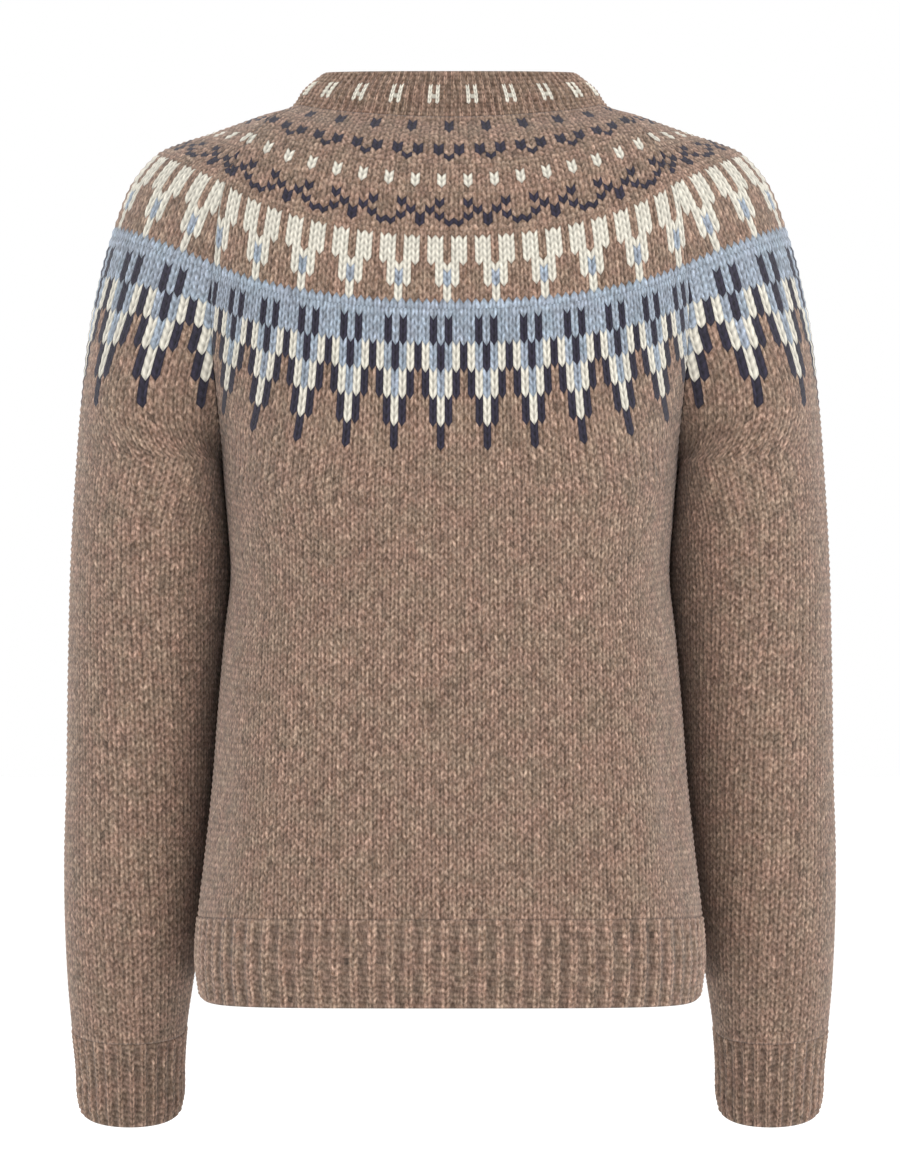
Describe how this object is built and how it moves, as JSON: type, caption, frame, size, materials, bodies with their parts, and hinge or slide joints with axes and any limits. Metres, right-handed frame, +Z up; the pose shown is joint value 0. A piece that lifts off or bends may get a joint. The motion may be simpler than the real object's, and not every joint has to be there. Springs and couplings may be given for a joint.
{
  "type": "knitted cardigan",
  "caption": "Knitted yoke cardigan with long sleeves, ribbed neck, hem and cuffs, a two-colour patterned yoke and a buttoned front, filled out as if worn.",
  "frame": {"origin": "middle of the neck seam's ring, where the wearer carries the garment", "axes": "+Z up, the front of the garment faces -Y, +X is the wearer's left"},
  "size_m": [0.51, 0.2482, 0.6976],
  "materials": {
    "heather_wool": "matt knitted wool",
    "rib_wool": "matt ribbed wool",
    "button_horn": "satin"
  },
  "bodies": {
    "root": {"back": "heather_wool", "front_left": "heather_wool", "front_right": "heather_wool", "sleeve_left": "heather_wool", "sleeve_right": "heather_wool", "hem_back": "rib_wool", "hem_left": "rib_wool", "hem_right": "rib_wool", "cuff_left": "rib_wool", "cuff_right": "rib_wool", "neckband": "rib_wool", "button_band": "rib_wool", "buttonhole_band": "rib_wool", "button_1": "button_horn", "button_2": "button_horn", "button_3": "button_horn", "button_4": "button_horn", "button_5": "button_horn", "button_6": "button_horn", "button_7": "button_horn"}
  },
  "joints": []
}
